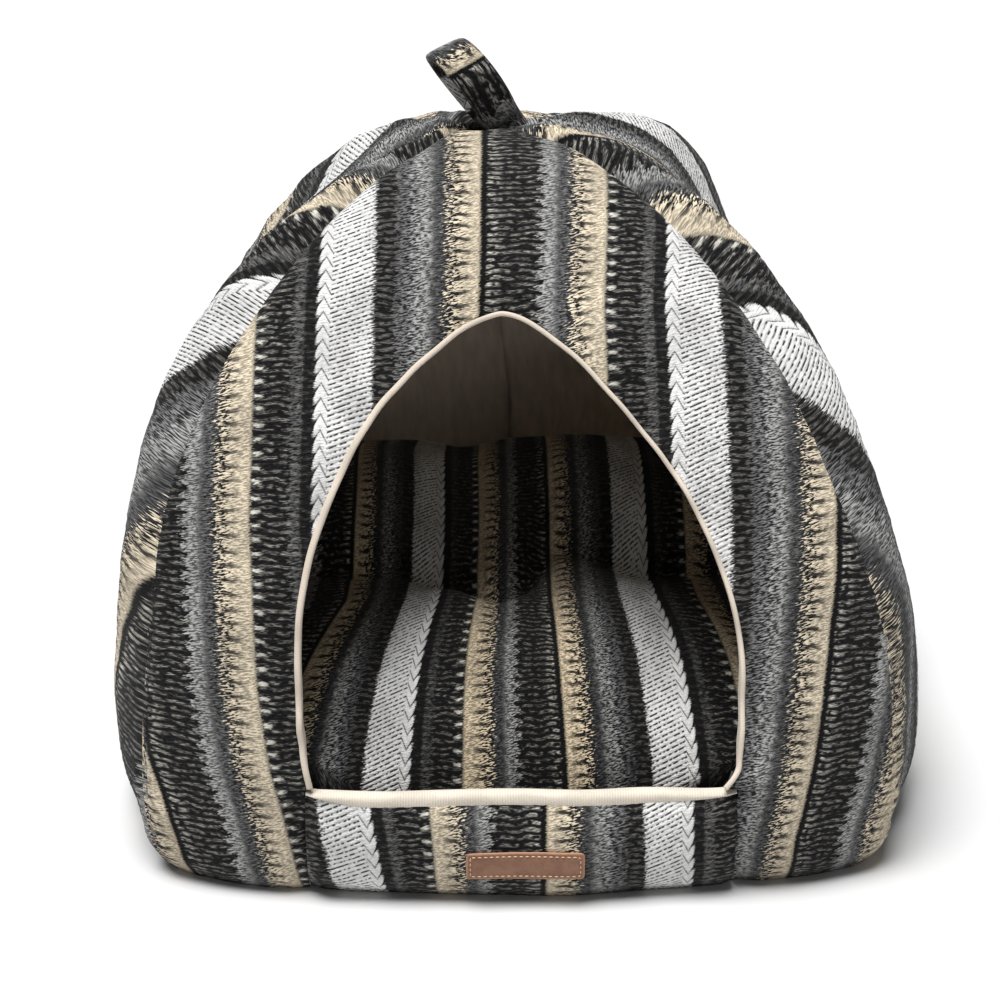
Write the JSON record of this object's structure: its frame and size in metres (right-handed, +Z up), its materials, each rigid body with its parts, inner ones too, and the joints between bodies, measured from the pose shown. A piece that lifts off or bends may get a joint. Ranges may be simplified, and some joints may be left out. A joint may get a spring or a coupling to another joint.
{
  "type": "hooded pet bed",
  "caption": "Domed hooded pet bed of striped knitted cloth, with an arched mouth over a low lip, taped edges, a plain lining, a deep loose cushion and a carry loop at its peak.",
  "frame": {"origin": "on the floor, under the middle of the base", "axes": "+Z up, -Y out of the mouth, +X to the right as seen from the front"},
  "size_m": [0.444, 0.4407, 0.3934],
  "materials": {
    "striped_cloth": "brushed knit, striped",
    "edging_tape": "ribbed woven tape",
    "plain_lining": "plain matt weave",
    "tag_leather": "satin grain"
  },
  "bodies": {
    "root": {"base_board": "striped_cloth", "front_panel": "striped_cloth", "right_panel": "striped_cloth", "back_panel": "striped_cloth", "left_panel": "striped_cloth", "front_lip": "striped_cloth", "arch_tape": "edging_tape", "lip_tape": "edging_tape", "lining_left": "plain_lining", "lining_right": "plain_lining", "cushion": "striped_cloth", "carry_loop": "striped_cloth", "leather_tag": "tag_leather"}
  },
  "joints": []
}
